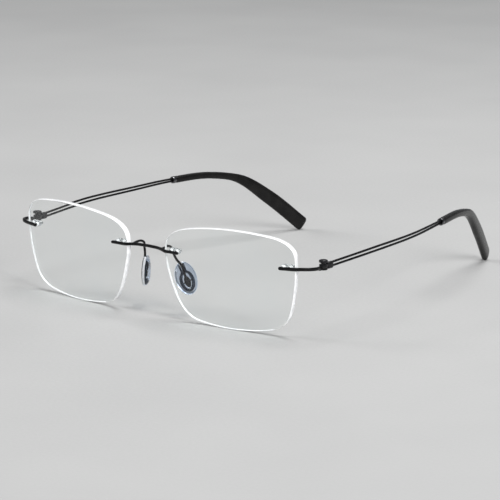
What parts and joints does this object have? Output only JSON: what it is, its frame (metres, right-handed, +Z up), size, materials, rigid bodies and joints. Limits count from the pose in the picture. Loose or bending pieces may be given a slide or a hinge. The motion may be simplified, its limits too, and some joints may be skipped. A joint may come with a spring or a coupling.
{
  "type": "rimless eyeglasses",
  "caption": "Rimless eyeglasses with clear lenses, a thin black metal bridge and end pieces, twin-wire temples with curved plastic tips and clear nose pads on arms.",
  "frame": {"origin": "on the surface that the open glasses stand on, under the middle of their overall width and depth", "axes": "+X towards the wearer's left, -Y out of the lens fronts, +Z up; the glasses are mirrored across the plane X = 0"},
  "size_m": [0.1402, 0.1562, 0.0368],
  "materials": {
    "lens": "clear polished optical resin with a polished edge",
    "frame_metal": "satin black over metal",
    "wire_metal": "satin black drawn wire",
    "hinge_metal": "satin black turned metal",
    "clear_sleeve": "clear moulded plastic",
    "pad_silicone": "clear soft silicone with a faint blue tint",
    "pad_insert": "dark blue-grey moulded plastic",
    "washer": "black nylon",
    "ferrule": "polished dark metal ring",
    "tip": "smooth black acetate with a soft sheen"
  },
  "bodies": {
    "front": {"bridge": "frame_metal", "lens_left": "lens", "lens_right": "lens", "bridge_sleeve_left": "clear_sleeve", "bridge_sleeve_right": "clear_sleeve", "endpiece_sleeve_left": "clear_sleeve", "endpiece_sleeve_right": "clear_sleeve", "endpiece_left": "frame_metal", "endpiece_right": "frame_metal", "hinge_screw_left": "hinge_metal", "hinge_screw_right": "hinge_metal", "hinge_washer_left": "washer", "hinge_washer_right": "washer", "pad_arm_left": "frame_metal", "pad_arm_right": "frame_metal", "pad_box_left": "frame_metal", "pad_box_right": "frame_metal", "pad_pin_left": "hinge_metal", "pad_pin_right": "hinge_metal"},
    "temple_left": {"temple_block_left": "hinge_metal", "temple_wire_upper_left": "wire_metal", "temple_wire_lower_left": "wire_metal", "ferrule_left": "ferrule", "temple_tip_left": "tip"},
    "pad_left": {"pad_insert_left": "pad_insert", "nose_pad_left": "pad_silicone"},
    "temple_right": {"temple_block_right": "hinge_metal", "temple_wire_upper_right": "wire_metal", "temple_wire_lower_right": "wire_metal", "ferrule_right": "ferrule", "temple_tip_right": "tip"},
    "pad_right": {"pad_insert_right": "pad_insert", "nose_pad_right": "pad_silicone"}
  },
  "joints": [
    {"name": "temple_left_fold", "type": "hinge", "parent": "front", "child": "temple_left", "pos_m": [0.068, -0.0608, 0.0256], "axis": [0, 0, 1], "range_deg": [0, 82]},
    {"name": "temple_right_fold", "type": "hinge", "parent": "front", "child": "temple_right", "pos_m": [-0.068, -0.0608, 0.0256], "axis": [0, 0, -1], "range_deg": [0, 76]},
    {"name": "pad_left_rock", "type": "hinge", "parent": "front", "child": "pad_left", "pos_m": [0.01037, -0.06557, 0.01229], "axis": [0.3983, 0.8541, 0.3346], "range_deg": [-6, 6]},
    {"name": "pad_right_rock", "type": "hinge", "parent": "front", "child": "pad_right", "pos_m": [-0.01037, -0.06557, 0.01229], "axis": [0.3983, -0.8541, -0.3346], "range_deg": [-6, 6]}
  ]
}
